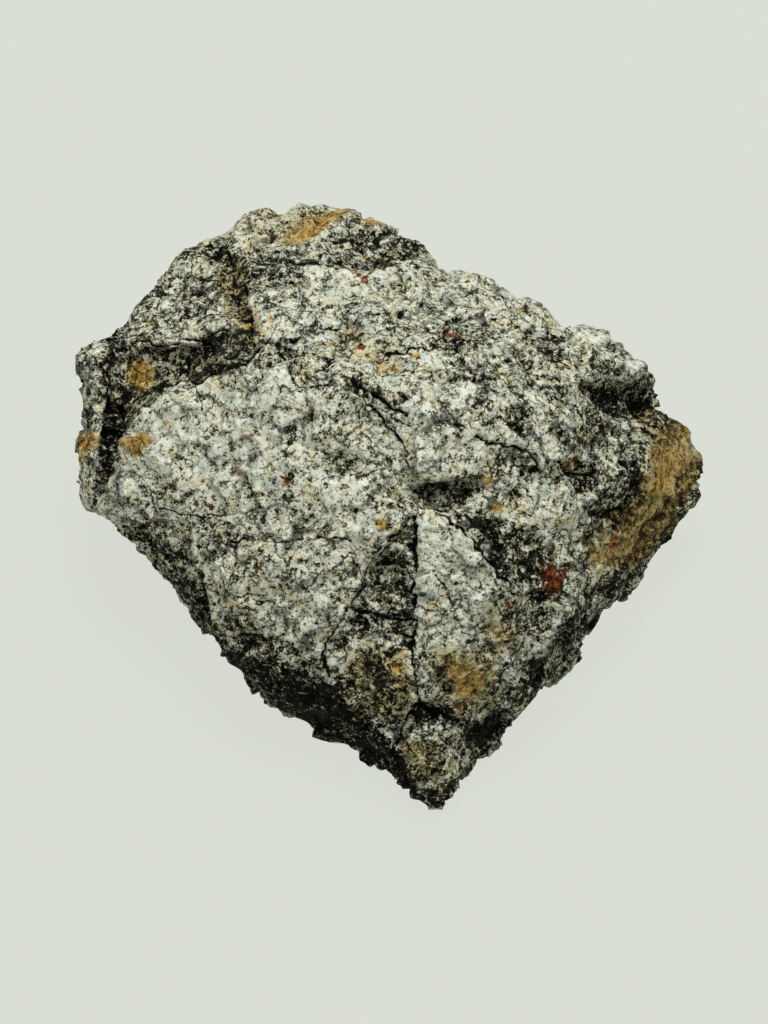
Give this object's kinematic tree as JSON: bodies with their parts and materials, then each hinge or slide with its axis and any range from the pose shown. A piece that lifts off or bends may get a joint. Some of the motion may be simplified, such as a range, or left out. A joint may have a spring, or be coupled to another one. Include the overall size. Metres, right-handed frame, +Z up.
{
  "type": "meteorite specimen",
  "caption": "Broken piece of stony meteorite with a pale granular fracture face, dark cracks and a cleft, and rust stains; it lies on a small flat spot on its underside.",
  "frame": {"origin": "on the table, under the middle of the stone's bounding box", "axes": "+Z up; +X along the stone's longest side, to the right as the pale main face is looked down on; +Y towards the back"},
  "size_m": [0.042, 0.039, 0.0218],
  "materials": {
    "stone": "rough, granular fracture surface, pale grey with black cracks and rust-brown stains"
  },
  "bodies": {
    "root": {"stone": "stone"}
  },
  "joints": []
}
